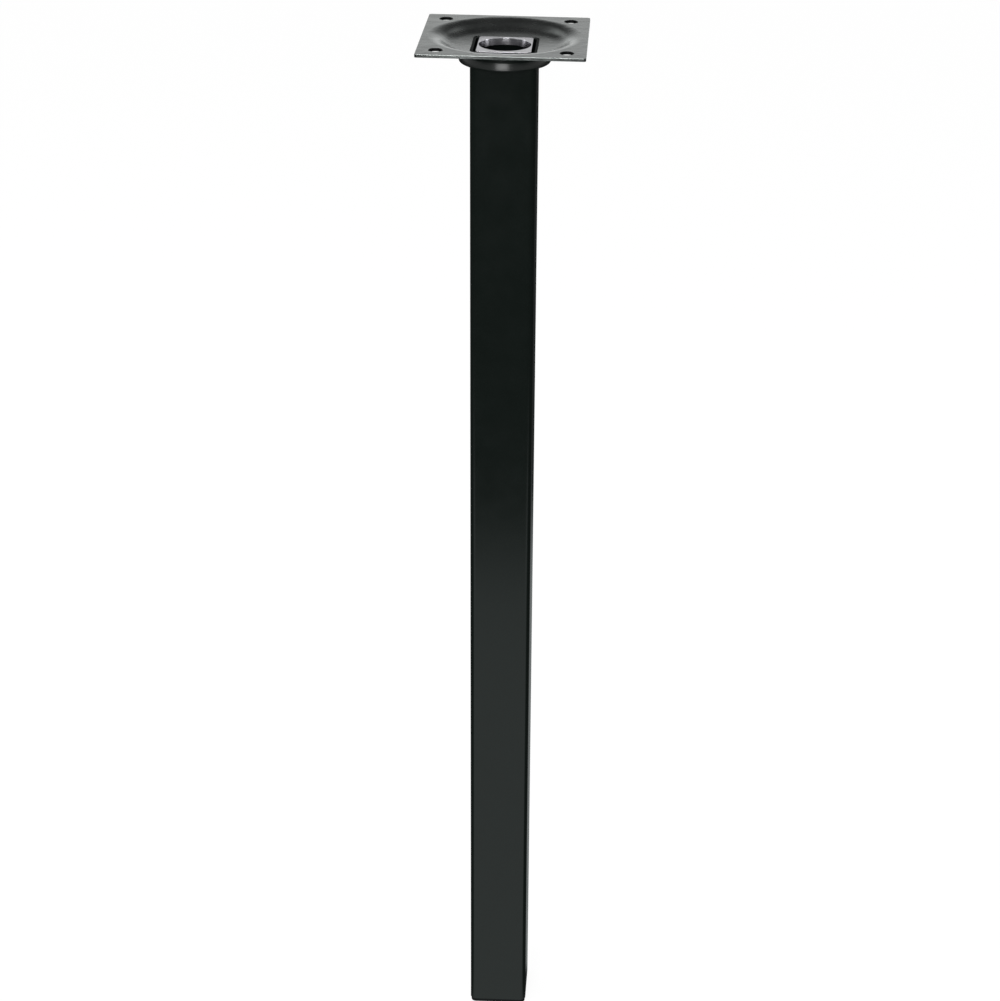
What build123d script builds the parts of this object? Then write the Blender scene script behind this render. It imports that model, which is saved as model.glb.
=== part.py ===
from build123d import *
import math
import os

# Square-tube table leg with a dished mounting plate.
# Millimetres. The leg stands upright with +Z up, and the origin is at the middle of the
# underside of the foot. The plate's sides lie along X and Y, as the tube's sides do.

# Whole leg
overall_height = 710.0

# Square steel tube
tube_width = 40.0
tube_wall = 1.5
tube_inside_corner_radius = 2.5
tube_rim_break = 0.3

# Pressed sheet mounting plate
plate_side = 100.0
plate_thickness = 2.0
plate_corner_radius = 1.5
plate_edge_break = 0.25
screw_edge_distance = 11.5
screw_hole_diameter = 8.5
screw_hole_break = 0.3

# Round dish pressed into the middle of the plate
dish_rim_to_plate_side = 3.5
dish_floor_ledge = 2.3
dish_slope_angle = 34.0
dish_floor_angle = 4.0
plate_to_tube_clearance = 0.15

# Round collar under the dish, with a shallow bead around its lower end
collar_wall_at_tube_corners = 0.35
collar_height = 7.1
collar_bead_radius = 20.0
collar_bead_lower_tilt = 6.0
collar_bead_upper_tilt = 18.0
collar_edge_radius = 0.8
collar_to_tube_clearance = 0.1
collar_to_plate_clearance = 0.05

# Steel bridge across the mouth of the tube, with a wide round hole that narrows downwards
mouth_plate_thickness = 4.1
mouth_plate_above_tube = 0.6
mouth_plate_side_gap = 1.9
mouth_plate_edge_break = 0.3
mouth_hole_side_land = 0.8
mouth_hole_draft_angle = 8.0
mouth_plate_to_tube_clearance = 0.1

# Plastic plug in the foot of the tube
foot_flange_inset = 0.5
foot_flange_thickness = 3.0
foot_flange_edge_radius = 0.5
foot_shank_to_tube_gap = 2.0
foot_shank_wall = 2.0
foot_shank_length = 20.0
foot_shank_corner_radius = 2.0
foot_fin_count = 3
foot_fin_thickness = 1.2
foot_fin_pitch = 6.0
foot_fin_to_tube_clearance = 0.1

# Heights and widths that follow from the sizes above
plate_top_z = overall_height
plate_underside_z = plate_top_z - plate_thickness
tube_bottom_z = foot_flange_thickness
tube_inside_width = tube_width - 2 * tube_wall
tube_corner_radius = tube_inside_corner_radius + tube_wall
tube_corner_centre = tube_width / 2 - tube_corner_radius
tube_corner_reach = tube_corner_centre * math.sqrt(2) + tube_corner_radius
screw_spacing = plate_side - 2 * screw_edge_distance
collar_neck_radius = tube_corner_reach + collar_wall_at_tube_corners
bead_tilt_sine = math.sin(math.radians(collar_bead_lower_tilt))
bead_tilt_cosine = math.cos(math.radians(collar_bead_lower_tilt))
bead_end_cosine = math.cos(math.radians(collar_bead_upper_tilt))
collar_bead_bulge = collar_bead_radius * (bead_tilt_cosine - bead_end_cosine)
collar_radius = collar_neck_radius + collar_bead_bulge
dish_rim_radius = plate_side / 2 - dish_rim_to_plate_side
dish_floor_radius = collar_radius + dish_floor_ledge

# The dish's slope is two equal bends, from the flat rim down to the shallow cone of its floor
slope_sine = math.sin(math.radians(dish_slope_angle))
slope_cosine = math.cos(math.radians(dish_slope_angle))
floor_sine = math.sin(math.radians(dish_floor_angle))
floor_cosine = math.cos(math.radians(dish_floor_angle))
floor_fall = math.tan(math.radians(dish_floor_angle))
dish_bend_radius = (dish_rim_radius - dish_floor_radius) / (2 * slope_sine - floor_sine)
dish_slope_drop = dish_bend_radius * (1 + floor_cosine - 2 * slope_cosine)
dish_floor_drop = (dish_floor_radius - tube_width / 2) * floor_fall
tube_top_z = plate_top_z - dish_slope_drop - dish_floor_drop
dish_underside_z = tube_top_z - plate_thickness / floor_cosine


# Tube, open at both ends, with its top level with the floor of the dish
with BuildPart() as leg_tube:
    with BuildSketch(Plane.XY.offset(tube_bottom_z)):
        RectangleRounded(tube_width, tube_width, tube_corner_radius)
        RectangleRounded(
            tube_inside_width,
            tube_inside_width,
            tube_inside_corner_radius,
            mode=Mode.SUBTRACT,
        )
    extrude(amount=tube_top_z - tube_bottom_z)
    tube_rim = leg_tube.faces().sort_by(Axis.Z)[-1]
    fillet(tube_rim.outer_wire().edges(), radius=tube_rim_break)


# Mounting plate: a flat square with an S-shaped slope down to the dish's conical floor
with BuildPart() as mounting_plate:
    with BuildSketch(Plane.XY.offset(plate_underside_z)):
        RectangleRounded(plate_side, plate_side, plate_corner_radius)
        Circle(dish_rim_radius, mode=Mode.SUBTRACT)
        with GridLocations(screw_spacing, screw_spacing, 2, 2):
            Circle(screw_hole_diameter / 2, mode=Mode.SUBTRACT)
    extrude(amount=plate_thickness)
    outline_edges = (
        mounting_plate.faces().sort_by(Axis.Z)[-1].outer_wire().edges()
        + mounting_plate.faces().sort_by(Axis.Z)[0].outer_wire().edges()
    )
    fillet(outline_edges, radius=plate_edge_break)
    # The dish's rim is the largest circle, and the screw holes come next
    screw_hole_edges = (
        mounting_plate.edges().filter_by(GeomType.CIRCLE).group_by(SortBy.RADIUS)[-2]
    )
    chamfer(screw_hole_edges, length=screw_hole_break)
    with BuildSketch(Plane.XZ):
        with BuildLine():
            rim_bend = JernArc(
                start=(dish_rim_radius, plate_top_z),
                tangent=(-1, 0),
                radius=dish_bend_radius,
                arc_size=dish_slope_angle,
            )
            foot_bend = JernArc(
                start=rim_bend @ 1,
                tangent=rim_bend % 1,
                radius=dish_bend_radius,
                arc_size=dish_floor_angle - dish_slope_angle,
            )
            under_rim_bend = JernArc(
                start=(dish_rim_radius, plate_underside_z),
                tangent=(-1, 0),
                radius=dish_bend_radius - plate_thickness,
                arc_size=dish_slope_angle,
            )
            under_foot_bend = JernArc(
                start=under_rim_bend @ 1,
                tangent=under_rim_bend % 1,
                radius=dish_bend_radius + plate_thickness,
                arc_size=dish_floor_angle - dish_slope_angle,
            )
            Polyline(
                foot_bend @ 1,
                (tube_width / 2, tube_top_z),
                (tube_width / 2, dish_underside_z),
                under_foot_bend @ 1,
            )
            Line((dish_rim_radius, plate_underside_z), (dish_rim_radius, plate_top_z))
        make_face()
    revolve(axis=Axis.Z)
    with BuildSketch(Plane.XY.offset(plate_top_z)):
        RectangleRounded(
            tube_width + 2 * plate_to_tube_clearance,
            tube_width + 2 * plate_to_tube_clearance,
            tube_corner_radius + plate_to_tube_clearance,
        )
    extrude(amount=dish_underside_z - plate_top_z, mode=Mode.SUBTRACT)


# Collar: a ring that fits under the cone of the dish's floor, with the bead at its lower end
collar_top_z = dish_underside_z - collar_to_plate_clearance
collar_bottom_z = collar_top_z - collar_height
collar_rise = (collar_neck_radius - tube_width / 2) * floor_fall
with BuildPart() as neck_collar:
    with BuildSketch(Plane.XZ):
        with BuildLine():
            bead = JernArc(
                start=(collar_radius, collar_bottom_z + collar_edge_radius * (1 + bead_tilt_sine)),
                tangent=(-bead_tilt_sine, bead_tilt_cosine),
                radius=collar_bead_radius,
                arc_size=collar_bead_upper_tilt - collar_bead_lower_tilt,
            )
            lower_edge = JernArc(
                start=bead @ 0,
                tangent=(bead_tilt_sine, -bead_tilt_cosine),
                radius=collar_edge_radius,
                arc_size=-90 - collar_bead_lower_tilt,
            )
            Polyline(
                bead @ 1,
                (collar_neck_radius, collar_top_z + collar_rise),
                (tube_width / 2, collar_top_z),
                (tube_width / 2, collar_bottom_z),
                lower_edge @ 1,
            )
        make_face()
    revolve(axis=Axis.Z)
    with BuildSketch(Plane.XY.offset(collar_bottom_z)):
        RectangleRounded(
            tube_width + 2 * collar_to_tube_clearance,
            tube_width + 2 * collar_to_tube_clearance,
            tube_corner_radius + collar_to_tube_clearance,
        )
    extrude(amount=collar_height + collar_rise, mode=Mode.SUBTRACT)


# Mouth plate: a bridge from the front wall of the tube to the back wall, with gaps at its
# sides. It stands a little above the tube's end.
mouth_plate_width = tube_inside_width - 2 * mouth_plate_side_gap
mouth_plate_length = tube_inside_width - 2 * mouth_plate_to_tube_clearance
mouth_hole_diameter = mouth_plate_width - 2 * mouth_hole_side_land
mouth_plate_top_z = tube_top_z + mouth_plate_above_tube
with BuildPart() as mouth_plate:
    with BuildSketch(Plane.XY.offset(mouth_plate_top_z)):
        RectangleRounded(
            mouth_plate_width,
            mouth_plate_length,
            tube_inside_corner_radius - mouth_plate_to_tube_clearance,
        )
    extrude(amount=-mouth_plate_thickness)
    fillet(
        mouth_plate.faces().sort_by(Axis.Z)[-1].edges(),
        radius=mouth_plate_edge_break,
    )
    with BuildSketch(Plane.XY.offset(mouth_plate_top_z)):
        Circle(mouth_hole_diameter / 2)
    extrude(
        amount=-mouth_plate_thickness,
        taper=mouth_hole_draft_angle,
        mode=Mode.SUBTRACT,
    )


# Foot plug: a flange under the tube, and a hollow shank with fins that grip inside it
foot_fin_width = tube_inside_width - 2 * foot_fin_to_tube_clearance
foot_fin_corner_radius = tube_inside_corner_radius - foot_fin_to_tube_clearance
foot_flange_width = tube_width - 2 * foot_flange_inset
foot_flange_corner_radius = tube_corner_radius - foot_flange_inset
foot_shank_width = tube_inside_width - 2 * foot_shank_to_tube_gap
foot_core_width = foot_shank_width - 2 * foot_shank_wall
with BuildPart() as foot_plug:
    with BuildSketch(Plane.XY):
        RectangleRounded(foot_flange_width, foot_flange_width, foot_flange_corner_radius)
    extrude(amount=foot_flange_thickness)
    fillet(
        foot_plug.faces().sort_by(Axis.Z)[0].edges(),
        radius=foot_flange_edge_radius,
    )
    with BuildSketch(Plane.XY.offset(foot_flange_thickness)):
        RectangleRounded(foot_shank_width, foot_shank_width, foot_shank_corner_radius)
    extrude(amount=foot_shank_length)
    for fin in range(foot_fin_count):
        fin_top_z = foot_flange_thickness + foot_shank_length - fin * foot_fin_pitch
        with BuildSketch(Plane.XY.offset(fin_top_z)):
            RectangleRounded(foot_fin_width, foot_fin_width, foot_fin_corner_radius)
        extrude(amount=-foot_fin_thickness)
    with BuildSketch(Plane.XY.offset(foot_flange_thickness)):
        Rectangle(foot_core_width, foot_core_width)
    extrude(amount=foot_shank_length, mode=Mode.SUBTRACT)


# One STEP file for each piece
leg_tube.part.label = "leg_tube"
mounting_plate.part.label = "mounting_plate"
neck_collar.part.label = "neck_collar"
mouth_plate.part.label = "mouth_plate"
foot_plug.part.label = "foot_plug"

os.makedirs("parts", exist_ok=True)
export_step(leg_tube.part, "parts/leg_tube.step")
export_step(mounting_plate.part, "parts/mounting_plate.step")
export_step(neck_collar.part, "parts/neck_collar.step")
export_step(mouth_plate.part, "parts/mouth_plate.step")
export_step(foot_plug.part, "parts/foot_plug.step")
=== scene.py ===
import math
import bpy
from mathutils import Matrix, Vector

# Square-tube table leg on a pale studio floor. Metres, in the row's frame: the leg stands
# at the origin with +Z up, and the camera looks along +Y.

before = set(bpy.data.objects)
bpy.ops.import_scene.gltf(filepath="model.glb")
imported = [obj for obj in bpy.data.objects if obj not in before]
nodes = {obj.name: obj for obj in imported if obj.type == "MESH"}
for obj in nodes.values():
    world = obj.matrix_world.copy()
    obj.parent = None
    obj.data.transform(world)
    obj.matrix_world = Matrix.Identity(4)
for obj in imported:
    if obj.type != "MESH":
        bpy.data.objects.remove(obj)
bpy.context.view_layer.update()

# The photograph's frame, and the camera that was fitted to it
IMAGE_WIDTH = 1000
IMAGE_HEIGHT = 1001
FOCAL_LENGTH_PX = 2188.3
PRINCIPAL_X_PX = 560
SENSOR_WIDTH_MM = 36
CAMERA_PLACE = Vector((0.0752, -1.3014, 1.0331))
CAMERA_YAW = -0.0284
CAMERA_PITCH = 0.4520
CAMERA_ROLL = 0.0187

# The plate's screw holes, in both directions from the plate's middle, and the share of their
# radius at which the painted shade on their walls ends
SCREW_OFFSET = 0.0385
SCREW_HOLE_RADIUS = 0.00425
SCREW_HOLE_SHADE_RIM = 1.05

# The top face of the steel plate in the tube's mouth, and the tube's cut end. Each change happens
# between two depths below them:
# the plate is darkened beneath its top face as painted shade, and the cut end is rougher by
# DULL_CUT_END.
MOUTH_PLATE_TOP = max(vertex.co.z for vertex in nodes["mouth_plate"].data.vertices)
TUBE_TOP = max(vertex.co.z for vertex in nodes["leg_tube"].data.vertices)
EDGE_LOW = 0.0004
EDGE_HIGH = 0.0002
DULL_CUT_END = 0.75

# Floor: its own colour and glow, as the camera sees it
FLOOR_REACH = 12.0
FLOOR_COLOUR = (0.16, 0.16, 0.16, 1)
FLOOR_GLOW = 0.90

# Paper sweep that all but the camera sees on the floor: a wedge in front of the leg and a
# dimmer one behind it, by Y and by the slope of X to Y, and the glow on and beside them
SWEEP_FRONT = 0.86
SWEEP_FADE = 0.22
SWEEP_SIDE_SLOPE = 0.75
SWEEP_SIDE_FADE = 0.7
SWEEP_BACK_LEVEL = 0.45
SWEEP_BACK_BLEND = 0.01
SWEEP_TINT = (0.93, 1.0, 0.99, 1)
SWEEP_GLOW = 0.55
BESIDE_SWEEP_GLOW = 0.03

# The sky that gloss sees, as pairs of a direction's height and its brightness. The sky behind
# the leg is a dark panel that fades out sideways, by a direction's slope of X to Y.
PANEL_SIDE_SLOPE = 0.4
PANEL_SIDE_FADE = 0.25
SKY_BEHIND = ((0.0, 0.95), (0.12, 0.86), (0.25, 0.57), (0.31, 0.33), (0.38, 0.09), (0.5, 0.036))
SKY_ELSEWHERE = ((0.0, 0.95), (0.12, 0.86), (0.3, 0.55), (0.6, 0.4), (0.66, 0.3), (0.74, 0.06))

# The world's own pale grey, which the camera sees past the floor's far edge, and the strength
# of its light on everything that isn't gloss
WORLD_COLOUR = (0.8, 0.8, 0.8, 1)
ROOM_LIGHT = 0.7

# Keeps a slope's divisor off zero
LEAST_DIVISOR = 0.001


def new_material(name):
    """A material with an empty node tree, its output and its Principled shader."""
    material = bpy.data.materials.new(name)
    material.use_nodes = True
    tree = material.node_tree
    tree.nodes.clear()
    output = tree.nodes.new("ShaderNodeOutputMaterial")
    shader = tree.nodes.new("ShaderNodeBsdfPrincipled")
    tree.links.new(shader.outputs["BSDF"], output.inputs["Surface"])
    return material, tree, shader


def object_place(tree, scale=(1, 1, 1)):
    """Places on the object in metres, stretched by scale."""
    place = tree.nodes.new("ShaderNodeTexCoord")
    mapping = tree.nodes.new("ShaderNodeMapping")
    mapping.inputs["Scale"].default_value = scale
    tree.links.new(place.outputs["Object"], mapping.inputs["Vector"])
    return mapping.outputs["Vector"]


def split_xyz(tree, vector):
    """The X, Y and Z of a vector."""
    node = tree.nodes.new("ShaderNodeSeparateXYZ")
    tree.links.new(vector, node.inputs["Vector"])
    return node.outputs["X"], node.outputs["Y"], node.outputs["Z"]


def noise(tree, place, scale, detail, roughness):
    """A noise texture's value, with its scale in waves per metre."""
    texture = tree.nodes.new("ShaderNodeTexNoise")
    texture.inputs["Scale"].default_value = scale
    texture.inputs["Detail"].default_value = detail
    texture.inputs["Roughness"].default_value = roughness
    tree.links.new(place, texture.inputs["Vector"])
    return texture.outputs["Fac"]


def remap(tree, value, old_range, new_range):
    """value, with its old range carried over to the new one and cut off at both ends."""
    node = tree.nodes.new("ShaderNodeMapRange")
    node.inputs["From Min"].default_value = old_range[0]
    node.inputs["From Max"].default_value = old_range[1]
    node.inputs["To Min"].default_value = new_range[0]
    node.inputs["To Max"].default_value = new_range[1]
    tree.links.new(value, node.inputs["Value"])
    return node.outputs["Result"]


def math_node(tree, operation, first, second=0.0):
    """The result of an operation on one or two values, each a socket or a number."""
    node = tree.nodes.new("ShaderNodeMath")
    node.operation = operation
    for socket, value in zip(node.inputs, (first, second)):
        if isinstance(value, (int, float)):
            socket.default_value = value
        else:
            tree.links.new(value, socket)
    return node.outputs["Value"]


def side_slope(tree, x, y):
    """How far a place or direction lies off to either side, as a slope of X to Y."""
    divisor = math_node(tree, "MAXIMUM", y, LEAST_DIVISOR)
    return math_node(tree, "DIVIDE", math_node(tree, "ABSOLUTE", x), divisor)


def blend_colours(tree, share, first, second):
    """first where share is 0 and second where it is 1."""
    node = tree.nodes.new("ShaderNodeMix")
    node.data_type = "RGBA"
    node.inputs["A"].default_value = (*first, 1)
    node.inputs["B"].default_value = (*second, 1)
    tree.links.new(share, node.inputs["Factor"])
    return node.outputs["Result"]


def darken(tree, share, colour, level):
    """colour, brought down to level of itself where share is 1."""
    node = tree.nodes.new("ShaderNodeMix")
    node.data_type = "RGBA"
    node.blend_type = "MULTIPLY"
    node.inputs["B"].default_value = (level, level, level, 1)
    tree.links.new(share, node.inputs["Factor"])
    tree.links.new(colour, node.inputs["A"])
    return node.outputs["Result"]


def bump(tree, shader, height, distance, strength, under=None):
    """Bumps the shader by a height texture that spans distance, in metres."""
    node = tree.nodes.new("ShaderNodeBump")
    node.inputs["Strength"].default_value = strength
    node.inputs["Distance"].default_value = distance
    tree.links.new(height, node.inputs["Height"])
    if under is not None:
        tree.links.new(under, node.inputs["Normal"])
    tree.links.new(node.outputs["Normal"], shader.inputs["Normal"])
    return node.outputs["Normal"]


# Materials


def black_paint(sheen=0.5, smoothest=0.14):
    """Satin black paint: a fine orange peel, a little dust in its gloss, a dull cut end."""
    material, tree, shader = new_material("black_paint")
    place = object_place(tree)
    cloud = noise(tree, place, scale=60, detail=4, roughness=0.6)
    peel = noise(tree, place, scale=900, detail=2, roughness=0.5)
    colour = blend_colours(tree, cloud, (0.0048, 0.0072, 0.0060), (0.0064, 0.0092, 0.0080))
    tree.links.new(colour, shader.inputs["Base Color"])
    shader.inputs["Specular IOR Level"].default_value = sheen
    gloss = remap(tree, cloud, (0.3, 0.7), (smoothest, smoothest + 0.05))
    height = split_xyz(tree, place)[2]
    edge = (TUBE_TOP - EDGE_LOW, TUBE_TOP - EDGE_HIGH)
    cut_end = remap(tree, height, edge, (0, DULL_CUT_END))
    tree.links.new(math_node(tree, "ADD", gloss, cut_end), shader.inputs["Roughness"])
    bump(tree, shader, peel, distance=0.00002, strength=0.5)
    return material


def screw_hole_shade_mask(tree, place):
    """1 on the walls of the plate's four screw holes, where painted shade darkens them, 0
    elsewhere.
    """
    x, y, _ = split_xyz(tree, place)
    off_x = math_node(tree, "SUBTRACT", math_node(tree, "ABSOLUTE", x), SCREW_OFFSET)
    off_y = math_node(tree, "SUBTRACT", math_node(tree, "ABSOLUTE", y), SCREW_OFFSET)
    square_x = math_node(tree, "MULTIPLY", off_x, off_x)
    square_y = math_node(tree, "MULTIPLY", off_y, off_y)
    radius = math_node(tree, "SQRT", math_node(tree, "ADD", square_x, square_y))
    rim = (SCREW_HOLE_RADIUS, SCREW_HOLE_RADIUS * SCREW_HOLE_SHADE_RIM)
    return remap(tree, radius, rim, (1, 0))


def zinc_plate():
    """Zinc plating on pressed sheet: blotchy grey with a green tint, and fine scratches."""
    material, tree, shader = new_material("zinc_plate")
    shader.inputs["Metallic"].default_value = 1.0
    place = object_place(tree)
    blotches = noise(tree, place, scale=55, detail=5, roughness=0.65)
    pale_share = remap(tree, blotches, (0.35, 0.68), (0, 1))
    colour = blend_colours(tree, pale_share, (0.355, 0.38, 0.37), (0.47, 0.495, 0.485))
    # Painted shade: the screw-hole walls are darkened to 0.15 of their colour.
    colour = darken(tree, screw_hole_shade_mask(tree, place), colour, level=0.15)
    tree.links.new(colour, shader.inputs["Base Color"])
    lengthways = object_place(tree, scale=(40, 900, 40))
    scratches = noise(tree, lengthways, scale=1.0, detail=3, roughness=0.6)
    wear = math_node(tree, "ADD", blotches, scratches)
    tree.links.new(remap(tree, wear, (0.7, 1.3), (0.18, 0.30)), shader.inputs["Roughness"])
    ripple = noise(tree, place, scale=90, detail=2, roughness=0.5)
    rippled = bump(tree, shader, ripple, distance=0.00025, strength=0.6)
    bump(tree, shader, scratches, distance=0.00001, strength=0.4, under=rippled)
    return material


def bare_steel():
    """Bright bare steel with round turning marks and a violet tint, darkened below its top face as
    painted shade.
    """
    material, tree, shader = new_material("bare_steel")
    shader.inputs["Metallic"].default_value = 1.0
    place = object_place(tree)
    cloud = noise(tree, place, scale=160, detail=4, roughness=0.6)
    colour = blend_colours(tree, cloud, (0.80, 0.795, 0.83), (0.92, 0.915, 0.95))
    height = split_xyz(tree, place)[2]
    edge = (MOUTH_PLATE_TOP - EDGE_LOW, MOUTH_PLATE_TOP - EDGE_HIGH)
    # Painted shade: the plate's hole walls, below its top face, are darkened to a third of their
    # colour.
    colour = darken(tree, remap(tree, height, edge, (1, 0)), colour, level=0.33)
    tree.links.new(colour, shader.inputs["Base Color"])
    tree.links.new(remap(tree, cloud, (0.3, 0.7), (0.14, 0.22)), shader.inputs["Roughness"])
    rings = tree.nodes.new("ShaderNodeTexWave")
    rings.wave_type = "RINGS"
    rings.rings_direction = "Z"
    rings.inputs["Scale"].default_value = 700
    rings.inputs["Distortion"].default_value = 0.4
    tree.links.new(place, rings.inputs["Vector"])
    bump(tree, shader, rings.outputs["Fac"], distance=0.00001, strength=0.3)
    return material


def black_plastic():
    """Moulded black plastic with a fine matte grain."""
    material, tree, shader = new_material("black_plastic")
    place = object_place(tree)
    grain = noise(tree, place, scale=1500, detail=2, roughness=0.5)
    colour = blend_colours(tree, grain, (0.003, 0.003, 0.003), (0.006, 0.006, 0.006))
    tree.links.new(colour, shader.inputs["Base Color"])
    shader.inputs["Roughness"].default_value = 0.5
    shader.inputs["Specular IOR Level"].default_value = 0.15
    bump(tree, shader, grain, distance=0.00004, strength=0.6)
    return material


# Studio


def floor_material():
    """White to the camera, with the leg's faint shadow, and a paper sweep to all else."""
    material = bpy.data.materials.new("studio_floor")
    material.use_nodes = True
    tree = material.node_tree
    tree.nodes.clear()
    output = tree.nodes.new("ShaderNodeOutputMaterial")

    matte = tree.nodes.new("ShaderNodeBsdfDiffuse")
    matte.inputs["Color"].default_value = FLOOR_COLOUR
    white = tree.nodes.new("ShaderNodeEmission")
    white.inputs["Strength"].default_value = FLOOR_GLOW
    seen = tree.nodes.new("ShaderNodeAddShader")
    tree.links.new(matte.outputs["BSDF"], seen.inputs[0])
    tree.links.new(white.outputs["Emission"], seen.inputs[1])

    x, y, _ = split_xyz(tree, tree.nodes.new("ShaderNodeTexCoord").outputs["Object"])
    reach = math_node(tree, "ABSOLUTE", y)
    side_fade = (SWEEP_SIDE_SLOPE, SWEEP_SIDE_SLOPE + SWEEP_SIDE_FADE)
    in_width = remap(tree, side_slope(tree, x, reach), side_fade, (1, 0))
    in_reach = remap(tree, reach, (SWEEP_FRONT - SWEEP_FADE, SWEEP_FRONT), (1, 0))
    level = remap(tree, y, (-SWEEP_BACK_BLEND, SWEEP_BACK_BLEND), (1, SWEEP_BACK_LEVEL))
    on_sweep = math_node(tree, "MULTIPLY", math_node(tree, "MULTIPLY", in_width, in_reach), level)
    paper = tree.nodes.new("ShaderNodeEmission")
    paper.inputs["Color"].default_value = SWEEP_TINT
    glow = remap(tree, on_sweep, (0, 1), (BESIDE_SWEEP_GLOW, SWEEP_GLOW))
    tree.links.new(glow, paper.inputs["Strength"])

    mix = tree.nodes.new("ShaderNodeMixShader")
    paths = tree.nodes.new("ShaderNodeLightPath")
    tree.links.new(paths.outputs["Is Camera Ray"], mix.inputs["Fac"])
    tree.links.new(paper.outputs["Emission"], mix.inputs[1])
    tree.links.new(seen.outputs["Shader"], mix.inputs[2])
    tree.links.new(mix.outputs["Shader"], output.inputs["Surface"])
    return material


def make_floor():
    """The studio's floor, a flat square that the leg stands on."""
    mesh = bpy.data.meshes.new("studio_floor")
    reach = FLOOR_REACH
    corners = [(-reach, -reach, 0), (reach, -reach, 0), (reach, reach, 0), (-reach, reach, 0)]
    mesh.from_pydata(corners, [], [(0, 1, 2, 3)])
    mesh.materials.append(floor_material())
    floor = bpy.data.objects.new("studio_floor", mesh)
    bpy.context.scene.collection.objects.link(floor)


def sky_ramp(tree, height, levels):
    """The sky's brightness by the height of a direction, 0 level and 1 straight up."""
    ramp = tree.nodes.new("ShaderNodeValToRGB")
    steps = ramp.color_ramp.elements
    while len(steps) < len(levels):
        steps.new(1.0)
    for step, (position, level) in zip(steps, levels):
        step.position = position
        step.color = (level, level, level, 1)
    tree.links.new(height, ramp.inputs["Fac"])
    return ramp.outputs["Color"]


def make_world():
    """Pale grey to the camera. Gloss sees a sky that darkens upwards, with a dark panel behind."""
    world = bpy.data.worlds.new("studio_world")
    world.use_nodes = True
    tree = world.node_tree
    tree.nodes.clear()
    output = tree.nodes.new("ShaderNodeOutputWorld")
    x, y, height = split_xyz(tree, tree.nodes.new("ShaderNodeTexCoord").outputs["Generated"])
    panel_fade = (PANEL_SIDE_SLOPE, PANEL_SIDE_SLOPE + PANEL_SIDE_FADE)
    sky = tree.nodes.new("ShaderNodeMix")
    sky.data_type = "RGBA"
    off_panel = remap(tree, side_slope(tree, x, y), panel_fade, (0, 1))
    tree.links.new(off_panel, sky.inputs["Factor"])
    tree.links.new(sky_ramp(tree, height, SKY_BEHIND), sky.inputs["A"])
    tree.links.new(sky_ramp(tree, height, SKY_ELSEWHERE), sky.inputs["B"])
    glossy = tree.nodes.new("ShaderNodeBackground")
    tree.links.new(sky.outputs["Result"], glossy.inputs["Color"])
    plain = tree.nodes.new("ShaderNodeBackground")
    plain.inputs["Color"].default_value = WORLD_COLOUR
    plain.inputs["Strength"].default_value = ROOM_LIGHT
    seen = tree.nodes.new("ShaderNodeBackground")
    seen.inputs["Color"].default_value = WORLD_COLOUR
    paths = tree.nodes.new("ShaderNodeLightPath")
    to_gloss = tree.nodes.new("ShaderNodeMixShader")
    tree.links.new(paths.outputs["Is Glossy Ray"], to_gloss.inputs["Fac"])
    tree.links.new(plain.outputs["Background"], to_gloss.inputs[1])
    tree.links.new(glossy.outputs["Background"], to_gloss.inputs[2])
    to_camera = tree.nodes.new("ShaderNodeMixShader")
    tree.links.new(paths.outputs["Is Camera Ray"], to_camera.inputs["Fac"])
    tree.links.new(to_gloss.outputs["Shader"], to_camera.inputs[1])
    tree.links.new(seen.outputs["Background"], to_camera.inputs[2])
    tree.links.new(to_camera.outputs["Shader"], output.inputs["Surface"])
    bpy.context.scene.world = world


def make_lamp(name, place, aim, size, power):
    """A square soft lamp that looks at aim."""
    lamp = bpy.data.lights.new(name, "AREA")
    lamp.shape = "SQUARE"
    lamp.size = size
    lamp.energy = power
    lamp_object = bpy.data.objects.new(name, lamp)
    lamp_object.location = place
    lamp_object.rotation_mode = "QUATERNION"
    lamp_object.rotation_quaternion = (Vector(aim) - Vector(place)).to_track_quat("-Z", "Y")
    bpy.context.scene.collection.objects.link(lamp_object)


def make_camera():
    """The camera at the photograph's place, with its lens and its small sideways shift."""
    forward = Vector(
        (
            math.sin(CAMERA_YAW) * math.cos(CAMERA_PITCH),
            math.cos(CAMERA_YAW) * math.cos(CAMERA_PITCH),
            -math.sin(CAMERA_PITCH),
        )
    )
    level_right = Vector((math.cos(CAMERA_YAW), -math.sin(CAMERA_YAW), 0))
    level_up = level_right.cross(forward)
    right = math.cos(CAMERA_ROLL) * level_right + math.sin(CAMERA_ROLL) * level_up
    up = right.cross(forward)
    turn = Matrix((right, up, -forward)).transposed()

    long_side = max(IMAGE_WIDTH, IMAGE_HEIGHT)
    camera = bpy.data.cameras.new("camera")
    camera.sensor_width = SENSOR_WIDTH_MM
    camera.lens = SENSOR_WIDTH_MM * FOCAL_LENGTH_PX / long_side
    camera.shift_x = (IMAGE_WIDTH / 2 - PRINCIPAL_X_PX) / long_side
    camera_object = bpy.data.objects.new("camera", camera)
    camera_object.matrix_world = Matrix.Translation(CAMERA_PLACE) @ turn.to_4x4()
    bpy.context.scene.collection.objects.link(camera_object)
    bpy.context.scene.camera = camera_object


finishes = {
    "leg_tube": black_paint(),
    "neck_collar": black_paint(sheen=0.32, smoothest=0.21),
    "mounting_plate": zinc_plate(),
    "mouth_plate": bare_steel(),
    "foot_plug": black_plastic(),
}
for name, finish in finishes.items():
    mesh = nodes[name].data
    mesh.materials.clear()
    mesh.materials.append(finish)

make_floor()
make_world()
make_lamp("key_lamp", place=(-0.11, -1.9, 1.15), aim=(0, 0, 0.70), size=0.95, power=24)
make_lamp("side_lamp", place=(-1.5, -1.0, 1.6), aim=(0, 0, 0.5), size=0.8, power=8)
make_camera()

bpy.context.scene.view_settings.view_transform = "Standard"
